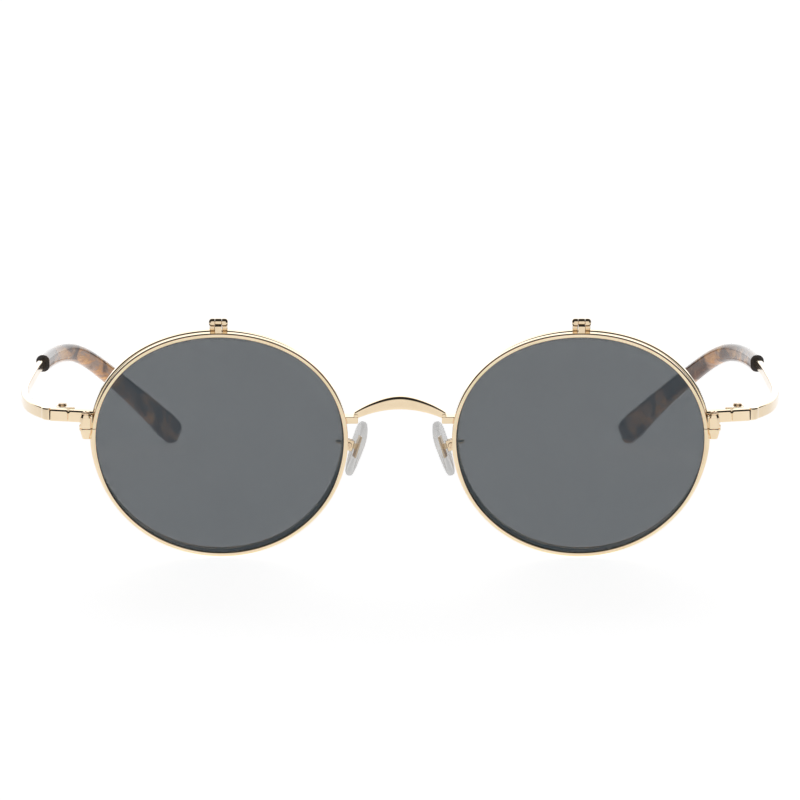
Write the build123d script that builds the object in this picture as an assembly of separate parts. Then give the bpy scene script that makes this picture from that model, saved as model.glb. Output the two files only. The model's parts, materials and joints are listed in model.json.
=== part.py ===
"""Round wire-framed flip-up sunglasses, standing open on a table.

Millimetres.  +X is the wearer's left, +Y runs back along the temples, +Z is up.  The front is drawn upright
in its own plane (x across, y back, z up, lens centres at z = 0), then tipped forward and lifted until the
rims stand on z = 0.  The origin of the finished model is the bottom centre of its box.
"""
import os
from math import cos, radians, sin, sqrt

from build123d import *

# ---- lenses and rims ---------------------------------------------------------------------------------------
lens_half_width = 24.45       # half the lens opening across
lens_half_height = 22.45      # half the lens opening up and down
lens_squareness = 0.0125      # share by which shoulders and chin stand out from a true ellipse
lens_fullness = 0.0046        # share by which the four diagonals stand out
outline_points = 36
rim_wall = 0.92               # rim wire, measured in the plane of the lens
rim_round = 0.3               # rounding of the rim's front and back edges
groove_depth = 0.40
groove_width = 0.60
split_gap = 0.12              # saw cut that lets the rim open for the lens
base_spacing = 71.8           # between the optical centres of the clear lenses
flip_spacing = 71.0           # between the centres of the sun lenses
base_rim_depth = 1.8
flip_rim_depth = 1.7
rim_gap = 0.2                 # air between the two rims of a pair
clear_lens_thickness = 1.6
sun_lens_thickness = 1.2
lens_radius = 265.0           # base curve of both lenses
lens_fit = 0.03               # slack of a lens in its rim
seat_fit = 0.006              # hairline where a soldered part meets the rim
bevel_height = 0.36
bevel_width = 0.50
front_tilt = 8.5              # pantoscopic angle, degrees

# ---- flip hinges over the rims -----------------------------------------------------------------------------
flip_axis_rise = 1.75         # pin above the top of the rim
flip_axis_y = -1.0
knuckle_radius = 0.80
flip_knuckle_width = 1.30
ear_width = 1.15
ear_gap = 0.06
flip_pin_radius = 0.32
pin_clearance = 0.03
ear_fillet = 0.45
foot_depth = 1.05
foot_inset = 0.02             # foot stands back from the front of the clear lens's rim
foot_root = 0.4               # depth that a foot or tab reaches down behind the top of its rim
foot_drop = 0.15              # top of the foot under the pin
tab_inset = 0.35              # tab stands back from the front of the sun lens's rim
tab_edge = 0.25

# ---- closing barrels of the rims ---------------------------------------------------------------------------
barrel_width = 2.3
barrel_depth = 1.9
barrel_stand_off = -0.30      # barrel's inner side, from the outside of the rim
barrel_edge = 0.5
barrel_foot_edge = 0.35
neck_half_depth = 0.55
neck_inset = 0.35             # neck is shorter than its barrel at each end
flip_barrel_top = 6.2
flip_barrel_bottom = 1.1
flip_split_height = 3.3
base_barrel_bottom = 1.75
base_barrel_top = 3.7
base_split_height = 2.75
lock_screw_radius = 0.42
lock_head_radius = 0.72
lock_head_height = 0.45
screw_slot_width = 0.22
screw_slot_depth = 0.22
screw_end_gap = 0.1           # screw stops short of the far end of its hole
flip_slot_along = 60          # degrees that each slot is turned
hinge_slot_along = 20
pad_slot_along = 35

# ---- bridge ------------------------------------------------------------------------------------------------
bridge_foot_x = 8.7
bridge_foot_z = 5.3
bridge_knee_x = 4.4
bridge_knee_drop = 0.75       # knee under the top of the bridge
bridge_top_z = 7.9
bridge_foot_slope = (-0.86, 0, 0.50)
# (share of length, height, depth, corner)
bridge_stations = [(0.0, 1.25, 1.15, 0.3), (0.22, 1.8, 1.7, 0.5), (0.5, 2.3, 2.1, 0.75),
                   (0.78, 1.8, 1.7, 0.5), (1.0, 1.25, 1.15, 0.3)]
post_height = 1.4
post_front = -0.8             # post's front and back, from the middle of the clear lens's rim
post_back = 1.9
post_z = 4.4
riser_half_depth = 0.75
post_reach = 4.2              # from the bridge's foot into the rim
post_half_width = 0.45        # of the upright part under the bridge's foot
post_rise = 0.35              # upright part above the bridge's foot
post_edge = 0.18

# ---- end pieces and temple hinges --------------------------------------------------------------------------
endpiece_height = 2.4
endpiece_rise = 3.3           # degrees that the end piece climbs toward the seam
endpiece_thickness = 1.5
endpiece_z = 5.5
endpiece_edge = 0.28
endpiece_root = 1.5           # start inside the rim's outline, before the rim is cut out of it
seam_x = 69.0                 # where the end piece meets the temple
seam_gap = 0.12
notch_x = 65.4
notch_size = 0.55
notch_depth = 0.6             # from the front
crease_size = 0.18            # V groove down the front under the notch
hinge_x = 66.8
hinge_y = 2.6
hinge_knuckle_radius = 1.15
hinge_knuckle_height = 0.74
hinge_knuckle_gap = 0.06
hinge_screw_radius = 0.50
hinge_head_radius = 0.85
hinge_head_height = 0.32
leaf_inner = 2.6              # leaf's four sides, from the hinge axis
leaf_outer = 0.9
leaf_front = 2.9
leaf_back = 1.75
link_front = 2.0              # start of the links between leaf and knuckles

# ---- temples -----------------------------------------------------------------------------------------------
arm_height = 2.4
arm_thickness = 1.5
strip_height = 2.2
strip_thickness = 1.2
# (share of length, height, thickness, corner)
arm_stations = [(0.0, arm_height, arm_thickness, 0.3), (0.12, arm_height, arm_thickness, 0.3),
                (0.35, 2.4, 1.5, 0.4), (0.6, 2.35, 1.4, 0.45), (0.85, strip_height, strip_thickness, 0.4),
                (1.0, strip_height, strip_thickness, 0.4)]
# plan of the temple's head, anticlockwise from the front of the seam
head_plan = [(seam_x, -1.62), (69.65, -1.32), (70.50, -0.30), (70.30, 0.55), (69.25, 0.55), (seam_x, -0.12)]
hinge_tab_end = 70.6
hinge_tab_half_width = 0.75
core_radius = 0.65
core_share = 0.82             # how far down the tip the core wire runs
core_sections = 8
core_fit = 0.01
tip_thickness = 3.0
paddle_height = 6.0
# (share of length, height, thickness, corner)
tip_stations = [(0.0, 3.6, 2.9, 1.35), (0.12, 3.8, tip_thickness, 1.4), (0.25, 3.9, tip_thickness, 1.4),
                (0.38, 3.9, tip_thickness, 1.4), (0.5, 4.0, tip_thickness, 1.4),
                (0.62, 4.3, tip_thickness, 1.4), (0.75, 4.8, tip_thickness, 1.4),
                (0.86, 5.5, tip_thickness, 1.4), (0.94, paddle_height, 2.9, 1.4),
                (0.985, paddle_height * 0.84, 2.5, 1.2), (1.0, paddle_height * 0.58, 1.5, 0.7)]
# centre line of the left temple, from the seam, round the bow, to the end of the tip
arm_route = [(69.85, 0.1, 29.2), (72.5, 5.6, 29.1), (75.3, 17.0, 28.9), (76.5, 33.0, 28.6),
             (76.5, 50.0, 28.3), (75.9, 66.4, 28.0)]
arm_start = (0.50, 0.86, 0)
tip_start = (-0.12, 0.99, -0.01)
tip_end = (-0.50, 0.70, -0.62)
tip_route = [(75.9, 66.4, 28.0), (74.2, 78.0, 27.9), (70.7, 88.4, 26.6), (64.4, 100.0, 20.1),
             (56.2, 112.0, 10.1), (50.3, 120.3, 2.4)]

# ---- nose pads ---------------------------------------------------------------------------------------------
# outline of the pad from its screw, (toward the face, up), fullest at the front of its upper third
pad_outline = [(-3.6, 1.4), (-2.2, 3.9), (0.4, 5.2), (2.7, 4.2), (3.6, 1.0), (3.1, -2.8), (1.5, -5.6),
               (-0.4, -5.9), (-2.2, -3.2)]
pad_thickness = 1.5
pad_round = 0.6
pad_centre = (8.5, 6.2, 21.3)
pad_splay = 11.0              # opens toward the face, degrees
pad_spread = 17.0             # opens downward, degrees
lug_thickness = 0.80
lug_end_radius = 0.55         # rounded end of the lug, about the pad screw
lug_plate = (0.4, 2.4, 4.4)   # plate moulded into the pad
box_width = 2.4               # along the pad screw
box_height = 2.2
box_depth = 1.9
box_stand_off = 0.30
box_wall = 0.30               # back wall of the box, behind the lug
box_slot_slack = 0.1          # each side of the lug
box_edge = 0.2
pad_screw_radius = 0.30
pad_head_radius = 0.60
pad_head_height = 0.35
pad_arm_radius = 0.45
# wire from the back of the rim toward the box; the last run goes straight into the box
pad_arm_route = [(10.82, 0.5, 22.9), (11.2, 3.0, 22.7)]
pad_arm_bends = [1.2, 0.85]
pad_arm_run_in = 2.0

# ---- worked out from the above -----------------------------------------------------------------------------
base_front = -base_rim_depth / 2
base_back = base_rim_depth / 2
flip_back = base_front - rim_gap
flip_front = flip_back - flip_rim_depth
rim_top = lens_half_height * (1 - lens_squareness - lens_fullness) + rim_wall
rim_low = lens_half_height * (1 + lens_squareness - lens_fullness) + rim_wall
flip_axis_z = rim_top + flip_axis_rise
front_height = rim_low * cos(radians(front_tilt)) - flip_front * sin(radians(front_tilt))
front_place = Location((0, 0, front_height), (front_tilt, 0, 0))


def lens_point(angle, grow):
    """Point of the lens outline at an angle from the top, moved outward by grow."""
    swell = 1 - lens_squareness * cos(3 * angle) - lens_fullness * cos(4 * angle)
    slope = 3 * lens_squareness * sin(3 * angle) + 4 * lens_fullness * sin(4 * angle)
    x = lens_half_width * swell * sin(angle)
    z = lens_half_height * swell * cos(angle)
    dx = lens_half_width * (slope * sin(angle) + swell * cos(angle))
    dz = lens_half_height * (slope * cos(angle) - swell * sin(angle))
    run = sqrt(dx * dx + dz * dz)
    return (x - grow * dz / run, 0, z + grow * dx / run)


def lens_prism(grow, front, back):
    """Solid with the lens outline grown by grow, between two depths."""
    angles = [radians(360 * i / outline_points) for i in range(outline_points)]
    curve = Spline(*[lens_point(a, grow) for a in angles], periodic=True)
    face = Face(Wire([curve.edge()]))
    prism = extrude(face, amount=back - front, dir=(0, 1, 0))
    return Pos(0, front, 0) * prism


def block(x0, x1, y0, y1, z0, z1):
    """Box between two corners."""
    size = (abs(x1 - x0), abs(y1 - y0), abs(z1 - z0))
    return Pos((x0 + x1) / 2, (y0 + y1) / 2, (z0 + z1) / 2) * Box(*size)


def rod(start, end, radius):
    """Cylinder from one point to another."""
    a = Vector(*start)
    b = Vector(*end)
    plane = Plane(origin=a, z_dir=b - a)
    return plane * Cylinder(radius, (b - a).length, align=(Align.CENTER, Align.CENTER, Align.MIN))


def only(shape):
    """The one solid of a shape."""
    solids = shape.solids()
    assert len(solids) == 1, "expected one solid, got %d" % len(solids)
    return solids[0]


def rim(front, back):
    """Grooved rim about one lens, centred on x = 0, not yet split."""
    ring = lens_prism(rim_wall, front, back) - lens_prism(0, front - 1, back + 1)
    ring = fillet(ring.edges().filter_by(GeomType.BSPLINE), rim_round)
    middle = (front + back) / 2
    return ring - lens_prism(groove_depth, middle - groove_width / 2, middle + groove_width / 2)


def lens(middle, thickness):
    """Curved lens with the bevel that sits in the rim's groove."""
    edge_radius = (lens_half_width + lens_half_height) / 2
    centre_y = middle + sqrt(lens_radius ** 2 - edge_radius ** 2)
    outer = Pos(0, centre_y, 0) * Sphere(lens_radius + thickness / 2)
    inner = Pos(0, centre_y, 0) * Sphere(lens_radius - thickness / 2)
    blank = (lens_prism(-lens_fit, middle - 4, middle + 4) & outer) - inner
    bevel = lens_prism(bevel_height, middle - bevel_width / 2, middle + bevel_width / 2)
    bevel -= lens_prism(-0.8, middle - 1, middle + 1)
    return only(blank + bevel)


def slotted_head(centre, radius, height, slot_along):
    """Cheese head standing on z = 0 at a point, with its slot."""
    head = Cylinder(radius, height, align=(Align.CENTER, Align.CENTER, Align.MIN))
    head = chamfer(head.edges().group_by(Axis.Z)[-1], height * 0.3)
    slot = Box(radius * 3, screw_slot_width, screw_slot_depth, align=(Align.CENTER, Align.CENTER, Align.MAX))
    head -= Pos(0, 0, height) * Rot(0, 0, slot_along) * slot
    return Location(centre) * head


def screw(length, radius, head_radius, head_height, slot_along=0):
    """Screw along -Z with the underside of its head at the origin."""
    shank = Pos(0, 0, 0.05) * Cylinder(radius, length + 0.05, align=(Align.CENTER, Align.CENTER, Align.MAX))
    return only(shank + slotted_head((0, 0, 0), head_radius, head_height, slot_along))


def section_plane(path, share):
    """Plane square to a path, its x axis level."""
    tangent = path % share
    across = Vector(0, 0, 1).cross(tangent).normalized()
    return Plane(origin=path @ share, x_dir=across, z_dir=tangent)


def loft_along(path, stations):
    """Loft rounded sections along a path: each station is (share of path, height, thickness, corner)."""
    return loft([section_plane(path, share) * RectangleRounded(thickness, height, corner)
                 for share, height, thickness, corner in stations])


# ---- rims, lenses and their closing barrels ----------------------------------------------------------------
def barrel(x_inner, y_middle, bottom, top):
    """Faceted closing barrel beside the rim, tapered at its lower end."""
    body = block(x_inner, x_inner + barrel_width, y_middle - barrel_depth / 2, y_middle + barrel_depth / 2,
                 bottom, top)
    body = chamfer(body.edges().filter_by(Axis.Z), barrel_edge)
    return chamfer(body.edges().group_by(Axis.Z)[0], barrel_foot_edge)


def closed_rim(front, back, middle_y, bottom, top, split):
    """Rim with its barrel fused on the +X side and both cut through at the split."""
    reach = lens_half_width + rim_wall
    x_inner = reach + barrel_stand_off
    ring = rim(front, back)
    neck = block(reach - 0.45, x_inner + barrel_edge, middle_y - neck_half_depth, middle_y + neck_half_depth,
                 bottom + neck_inset, top - neck_inset)
    neck -= lens_prism(groove_depth + 0.1, front - 1, back + 1)
    body = ring + neck + barrel(x_inner, middle_y, bottom, top)
    saw = block(lens_half_width - 3, x_inner + barrel_width + 1, front - 2, back + 2,
                split - split_gap / 2, split + split_gap / 2)
    axis_x = x_inner + barrel_width / 2
    bore = rod((axis_x, middle_y, bottom - 1), (axis_x, middle_y, top + 1), lock_screw_radius + pin_clearance)
    return only(body - saw - bore), axis_x


def base_rim():
    """Rim of the clear lens; its barrel sits under the end piece."""
    body, axis_x = closed_rim(base_front, base_back, 0.0, base_barrel_bottom, base_barrel_top,
                              base_split_height)
    length = base_barrel_top - base_barrel_bottom - screw_end_gap
    fixing = screw(length, lock_screw_radius, lock_head_radius, lock_head_height)
    return body, Pos(axis_x, 0, base_barrel_bottom) * Rot(180, 0, 0) * fixing


def flip_rim():
    """Rim of the sun lens; its barrel sits in front of the end piece."""
    middle_y = (flip_front + flip_back) / 2
    body, axis_x = closed_rim(flip_front, flip_back, middle_y, flip_barrel_bottom, flip_barrel_top,
                              flip_split_height)
    length = flip_barrel_top - flip_barrel_bottom - screw_end_gap
    fixing = screw(length, lock_screw_radius, lock_head_radius, lock_head_height, flip_slot_along)
    return body, Pos(axis_x, middle_y, flip_barrel_top) * fixing


def flip_knuckle():
    """Middle knuckle on the pin with a tab down to the top of the sun lens's rim."""
    half = flip_knuckle_width / 2
    eye = rod((-half, flip_axis_y, flip_axis_z), (half, flip_axis_y, flip_axis_z), knuckle_radius)
    tab = block(-half, half, flip_front + tab_inset, flip_back - 0.03, rim_top - foot_root, flip_axis_z)
    tab = chamfer(tab.edges().filter_by(Axis.X).group_by(Axis.Z)[-1], tab_edge)
    body = eye + tab - lens_prism(rim_wall + seat_fit, flip_front - 1, flip_back + 1)
    bore = rod((-half - 1, flip_axis_y, flip_axis_z), (half + 1, flip_axis_y, flip_axis_z),
               flip_pin_radius + pin_clearance)
    return only(body - bore)


def flip_ears():
    """The two outer knuckles, each on a foot that stands on the top of the clear lens's rim."""
    solids = []
    inner = flip_knuckle_width / 2 + ear_gap
    outer = inner + ear_width
    for side in (-1, 1):
        eye = rod((side * inner, flip_axis_y, flip_axis_z), (side * outer, flip_axis_y, flip_axis_z),
                  knuckle_radius)
        outer_edge = eye.edges().filter_by(GeomType.CIRCLE).sort_by(Axis.X)[-1 if side > 0 else 0]
        eye = fillet(outer_edge, ear_fillet)
        foot = block(side * inner, side * (outer - 0.1), base_front + foot_inset,
                     base_front + foot_inset + foot_depth, rim_top - foot_root, flip_axis_z - foot_drop)
        foot = chamfer(foot.edges().filter_by(Axis.X).group_by(Axis.Z)[-1], 0.2)
        ear = eye + foot - lens_prism(rim_wall + seat_fit, base_front - 0.5, base_back + 0.5)
        bore = rod((0, flip_axis_y, flip_axis_z), (side * (outer - 0.35), flip_axis_y, flip_axis_z),
                   flip_pin_radius + 0.01)
        solids.append(only(ear - bore))
    return Compound(children=solids)


def flip_pin():
    """Pin through the three knuckles, ends hidden in the outer ones."""
    reach = flip_knuckle_width / 2 + ear_gap + ear_width - 0.4
    return rod((-reach, flip_axis_y, flip_axis_z), (reach, flip_axis_y, flip_axis_z), flip_pin_radius)


# ---- bridge and end pieces ---------------------------------------------------------------------------------
def bridge():
    """Saddle bar between the clear lenses' rims, thickest in the middle, on a short post at each end."""
    knee_z = bridge_top_z - bridge_knee_drop
    back_slope = (bridge_foot_slope[0], 0, -bridge_foot_slope[2])
    path = Spline((bridge_foot_x, 0, bridge_foot_z), (bridge_knee_x, 0, knee_z), (0, 0, bridge_top_z),
                  (-bridge_knee_x, 0, knee_z), (-bridge_foot_x, 0, bridge_foot_z),
                  tangents=[bridge_foot_slope, back_slope])
    bar = loft_along(path, bridge_stations)
    cutter = Pos(base_spacing / 2, 0, 0) * lens_prism(rim_wall + seat_fit, -3, 3)
    half = riser_half_depth
    low = post_z - post_height / 2
    for side in (-1, 1):
        inner = side * (bridge_foot_x - post_half_width)
        post = block(inner, side * (bridge_foot_x + post_reach), post_front, post_back, low, low + post_height)
        post = chamfer(post.edges().filter_by(Axis.X), post_edge)
        riser = block(inner, side * (bridge_foot_x + post_half_width), -half, half, low,
                      bridge_foot_z + post_rise)
        riser = chamfer(riser.edges().filter_by(Axis.Y), post_edge)
        bar += post + riser
        bar -= cutter if side > 0 else mirror(cutter, about=Plane.YZ)
    return only(bar)


def endpiece():
    """Flat bar from the rim out to the temple's seam, with the V notch across its top and front."""
    low = endpiece_z - endpiece_height / 2
    high = endpiece_z + endpiece_height / 2
    front = base_front + 0.05
    root = base_spacing / 2 + lens_half_width - endpiece_root
    bar = block(root, seam_x - seam_gap, front, front + endpiece_thickness, low, high)
    bar = chamfer(bar.edges().filter_by(Axis.X).group_by(Axis.Y)[0], endpiece_edge)
    bar = Pos(seam_x, 0, endpiece_z) * Rot(0, -endpiece_rise, 0) * Pos(-seam_x, 0, -endpiece_z) * bar
    notch = Pos(notch_x, front, high) * Rot(0, 45, 0) * Box(notch_size, notch_depth * 2, notch_size)
    crease = Box(crease_size, crease_size, endpiece_height + 1)
    crease = Pos(notch_x, front, endpiece_z) * Rot(0, 0, 45) * crease
    rim_space = Pos(base_spacing / 2, 0, 0) * lens_prism(rim_wall + seat_fit, -3, 3)
    return only(bar - notch - crease - rim_space)


def hinge_knuckle(low, high):
    """Round knuckle on the temple hinge's upright axis."""
    return rod((hinge_x, hinge_y, low), (hinge_x, hinge_y, high), hinge_knuckle_radius)


def hinge_levels():
    """Bottom heights of the three knuckles, lowest first."""
    middle = arm_route[0][2]
    step = hinge_knuckle_height + hinge_knuckle_gap
    return [middle - hinge_knuckle_height / 2 + k * step for k in (-1, 0, 1)]


def front_hinge():
    """Upper and lower knuckles with the leaf that carries them on the back of the end piece."""
    levels = hinge_levels()
    bore = rod((hinge_x, hinge_y, 0), (hinge_x, hinge_y, 60), hinge_screw_radius + pin_clearance)
    body = block(hinge_x - leaf_inner, hinge_x + leaf_outer, hinge_y - leaf_front, hinge_y - leaf_back,
                 levels[0], levels[2] + hinge_knuckle_height)
    for level in (levels[0], levels[2]):
        top = level + hinge_knuckle_height
        body += hinge_knuckle(level, top)
        body += block(hinge_x - hinge_knuckle_radius, hinge_x + leaf_outer, hinge_y - link_front, hinge_y,
                      level, top)
    return only(body - bore)


def hinge_screw():
    """Upright screw of the temple hinge."""
    levels = hinge_levels()
    top = levels[2] + hinge_knuckle_height
    length = top - levels[0] - screw_end_gap
    fixing = screw(length, hinge_screw_radius, hinge_head_radius, hinge_head_height, hinge_slot_along)
    return Pos(hinge_x, hinge_y, top) * fixing


# ---- temples -----------------------------------------------------------------------------------------------
def arm_path():
    return Spline(*arm_route, tangents=[arm_start, tip_start])


def tip_path():
    return Spline(*tip_route, tangents=[tip_start, tip_end])


def temple_arm():
    """Bowed metal bar from the seam to the tip, with the hinge knuckle and the core wire inside the tip."""
    middle = arm_route[0][2]
    bar = loft_along(arm_path(), arm_stations)
    head = extrude(make_face(Polyline(*head_plan, close=True)), amount=arm_height, dir=(0, 0, 1))
    head = Pos(0, 0, middle - arm_height / 2) * head
    levels = hinge_levels()
    top = levels[1] + hinge_knuckle_height
    eye = hinge_knuckle(levels[1], top)
    tab = block(hinge_x, hinge_tab_end, hinge_y - hinge_tab_half_width, hinge_y + hinge_tab_half_width,
                levels[1], top)
    bore = rod((hinge_x, hinge_y, 0), (hinge_x, hinge_y, 60), hinge_screw_radius + pin_clearance)
    return only(bar + head + eye + tab + temple_core(core_radius) - bore)


def temple_core(radius):
    """Round wire that the tip is pushed onto."""
    path = tip_path()
    shares = [core_share * i / core_sections for i in range(core_sections + 1)]
    return loft([section_plane(path, share) * Circle(radius) for share in shares])


def temple_tip():
    """Acetate tip, slender where it takes the bar and broad at the paddle, bored for the core wire."""
    return only(loft_along(tip_path(), tip_stations) - temple_core(core_radius + core_fit))


# ---- nose pads ---------------------------------------------------------------------------------------------
pad_place = Pos(*pad_centre) * Rot(0, 0, -pad_splay) * Rot(0, -pad_spread, 0)
pad_axis_x = pad_thickness / 2 + box_stand_off + box_depth / 2


def nose_pad():
    """Soft pad, local -x against the nose, with a pocket for the metal lug."""
    edge = Spline(*[(0, y, z) for y, z in pad_outline], periodic=True)
    outline = Face(Wire([edge.edge()]))
    pad = Pos(-pad_thickness / 2, 0, 0) * extrude(outline, amount=pad_thickness, dir=(1, 0, 0))
    pad = fillet(pad.edges(), pad_round)
    return pad_place * only(pad - lug_blank())


def lug_blank():
    """Plate inside the pad and the round-ended tongue that stands out of its back."""
    tongue = block(0, pad_axis_x, -lug_thickness / 2, lug_thickness / 2, -lug_end_radius, lug_end_radius)
    end = rod((pad_axis_x, -lug_thickness / 2, 0), (pad_axis_x, lug_thickness / 2, 0), lug_end_radius)
    return Box(*lug_plate) + tongue + end


def pad_lug():
    """Metal lug moulded into the pad, bored for the pad screw."""
    bore = rod((pad_axis_x, -2, 0), (pad_axis_x, 2, 0), pad_screw_radius + pin_clearance)
    return pad_place * only(lug_blank() - bore)


def pad_arm():
    """Wire from the back of the rim to the slotted box that holds the lug."""
    x0 = pad_thickness / 2 + box_stand_off
    box = block(x0, x0 + box_depth, -box_width / 2, box_width / 2, -box_height / 2, box_height / 2)
    box = chamfer(box.edges().filter_by(Axis.Y), box_edge)
    slot_half = lug_thickness / 2 + box_slot_slack
    slot = block(x0 - 1, x0 + box_depth - box_wall, -slot_half, slot_half, -box_height, box_height)
    bore = rod((pad_axis_x, -3, 0), (pad_axis_x, 3, 0), pad_screw_radius + 0.01)
    box = pad_place * (box - slot - bore)
    run_in = (pad_place * Pos(x0 + box_depth + pad_arm_run_in, 0, 0)).position
    end = (pad_place * Pos(x0 + box_depth - 0.1, 0, 0)).position
    path = FilletPolyline(*pad_arm_route, tuple(run_in), tuple(end), radius=pad_arm_bends)
    start = Plane(origin=path @ 0, z_dir=path % 0)
    wire = sweep(start * Circle(pad_arm_radius), path=path)
    return only(box + wire)


def pad_screw():
    """Small slotted screw through box and lug, head to the front."""
    length = box_width - screw_end_gap
    fixing = screw(length, pad_screw_radius, pad_head_radius, pad_head_height, pad_slot_along)
    return pad_place * Pos(pad_axis_x, -box_width / 2, 0) * Rot(90, 0, 0) * fixing


# ---- assembly ----------------------------------------------------------------------------------------------
def left_side():
    """Every node of the left half, in place, before the shift to the origin."""
    at_base = front_place * Pos(base_spacing / 2, 0, 0)
    at_flip = front_place * Pos(flip_spacing / 2, 0, 0)
    rim_solid, rim_screw = base_rim()
    flip_solid, flip_screw = flip_rim()
    end_bar = front_place * endpiece()
    base_solid = at_base * rim_solid
    return {
        "rim": base_solid,
        "rim_screw": at_base * rim_screw,
        "clear_lens": at_base * lens(0.0, clear_lens_thickness),
        "endpiece": end_bar,
        "front_hinge": only(front_hinge() - end_bar),
        "temple_hinge_screw": hinge_screw(),
        "flip_hinge_ears": at_flip * flip_ears(),
        "flip_pin": at_flip * flip_pin(),
        "flip_rim": at_flip * flip_solid,
        "flip_knuckle": at_flip * flip_knuckle(),
        "flip_rim_screw": at_flip * flip_screw,
        "sun_lens": at_flip * lens((flip_front + flip_back) / 2, sun_lens_thickness),
        "temple_arm": temple_arm(),
        "temple_tip": temple_tip(),
        "pad_arm": max((pad_arm() - base_solid).solids(), key=lambda piece: piece.volume),
        "pad_screw": pad_screw(),
        "pad_lug": pad_lug(),
        "nose_pad": nose_pad(),
    }


def main():
    os.makedirs("parts", exist_ok=True)
    left = left_side()
    nodes = {"bridge": front_place * bridge()}
    for name, shape in left.items():
        nodes["left_" + name] = shape
        nodes["right_" + name] = mirror(shape, about=Plane.YZ)
    low = min(shape.bounding_box().min.Z for shape in nodes.values())
    front = min(shape.bounding_box().min.Y for shape in nodes.values())
    back = max(shape.bounding_box().max.Y for shape in nodes.values())
    shift = Pos(0, -(front + back) / 2, -low)
    for name, shape in nodes.items():
        export_step(shift * shape, "parts/%s.step" % name)
    print("shift", shift.position)
    tilt = radians(front_tilt)
    pin_y = flip_axis_y * cos(tilt) - flip_axis_z * sin(tilt)
    pin_z = flip_axis_y * sin(tilt) + flip_axis_z * cos(tilt) + front_height
    print("flip pin", (shift * Pos(flip_spacing / 2, pin_y, pin_z)).position)
    print("temple hinge", (shift * Pos(hinge_x, hinge_y, arm_route[0][2])).position)
    pad_pivot = shift * pad_place * Pos(pad_axis_x, 0, 0)
    print("pad pivot", pad_pivot.position, "axis", Plane(pad_pivot).y_dir)


main()
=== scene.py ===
"""Looks for the round flip-up sunglasses: bright gold wire, tinted lenses, tortoiseshell tips.

Sizes are in millimetres until a mesh is made, and the frame is the CAD frame: +X the wearer's left, +Y back
along the temples, +Z up.  Parts of the front are drawn upright in the front's own plane and set by FRONT.
Every paired piece is drawn for the left side and mirrored for the right.
"""
import json
import math

import bmesh
import bpy
import numpy as np
from mathutils import Matrix, Vector


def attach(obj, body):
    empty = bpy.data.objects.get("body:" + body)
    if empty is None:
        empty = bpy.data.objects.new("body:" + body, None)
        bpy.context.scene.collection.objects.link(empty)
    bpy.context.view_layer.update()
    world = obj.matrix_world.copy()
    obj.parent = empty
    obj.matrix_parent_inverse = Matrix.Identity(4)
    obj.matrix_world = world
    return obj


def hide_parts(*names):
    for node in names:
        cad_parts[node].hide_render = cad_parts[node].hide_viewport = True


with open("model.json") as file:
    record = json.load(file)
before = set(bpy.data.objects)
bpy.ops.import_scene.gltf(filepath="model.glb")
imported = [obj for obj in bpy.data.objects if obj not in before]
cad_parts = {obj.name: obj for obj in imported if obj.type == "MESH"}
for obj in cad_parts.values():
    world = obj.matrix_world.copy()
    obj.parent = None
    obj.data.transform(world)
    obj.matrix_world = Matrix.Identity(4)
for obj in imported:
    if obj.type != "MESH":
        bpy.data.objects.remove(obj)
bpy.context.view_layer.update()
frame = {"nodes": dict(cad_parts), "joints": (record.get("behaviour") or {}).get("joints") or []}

MM = 0.001
SIDES = (("left", 1), ("right", -1))

# ---- sizes, in millimetres, as the CAD model has them ------------------------------------------------------
LENS_HALF_WIDTH = 24.45
LENS_HALF_HEIGHT = 22.45
LENS_SQUARENESS = 0.0125
LENS_FULLNESS = 0.0046
RIM_WALL = 0.92
RIM_ROUND = 0.40
GROOVE_DEPTH = 0.40
GROOVE_WIDTH = 0.60
SPLIT_GAP = 0.12
FRONT_TILT = math.radians(8.5)
BASE_FRONT = -0.9
BASE_BACK = 0.9
FLIP_FRONT = -2.8
FLIP_BACK = -1.1
FLIP_MIDDLE = (FLIP_FRONT + FLIP_BACK) / 2
LENS_RADIUS = 265.0
CLEAR_LENS_THICK = 1.6
SUN_LENS_THICK = 1.2
RIM_TOP = LENS_HALF_HEIGHT * (1 - LENS_SQUARENESS - LENS_FULLNESS) + RIM_WALL
FLIP_AXIS_Y = -1.0
FLIP_AXIS_RISE = 1.75        # pin above the top of the rim
FLIP_AXIS_Z = RIM_TOP + FLIP_AXIS_RISE
SPACING_STEP = 0.8           # clear lenses stand this much wider apart than the sun lenses
KNUCKLE_RADIUS = 0.80
KNUCKLE_WIDTH = 1.30
EAR_WIDTH = 1.15
EAR_GAP = 0.06
BARREL_WIDTH = 2.3
BARREL_DEPTH = 1.9
BARREL_SET_IN = 0.30         # barrel's inner side, inside the outer side of the rim
BASE_BARREL = (1.75, 3.7, 2.75)      # bottom, top, saw cut
FLIP_BARREL = (1.1, 6.2, 3.3)
SCREW_END_GAP = 0.1
LOCK_SCREW = (0.42, 0.72, 0.45)      # radius of shank, radius and height of head
HINGE_SCREW = (0.50, 0.85, 0.32)
PAD_SCREW = (0.30, 0.60, 0.35)
RING_STEPS = 260


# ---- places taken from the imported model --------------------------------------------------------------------
def joint_place(name):
    """A joint's point in millimetres."""
    for joint in frame["joints"]:
        if joint["name"] == name:
            return Vector(joint["pos_m"]) / MM
    raise ValueError("no joint named " + name)


FLIP_PIN = joint_place("left_flip_hinge")
HINGE = joint_place("left_temple_fold")


def moved(x, y, z):
    return Matrix.Translation(Vector((x, y, z)))


def turned_by(degrees, axis):
    return Matrix.Rotation(math.radians(degrees), 4, axis)


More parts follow.
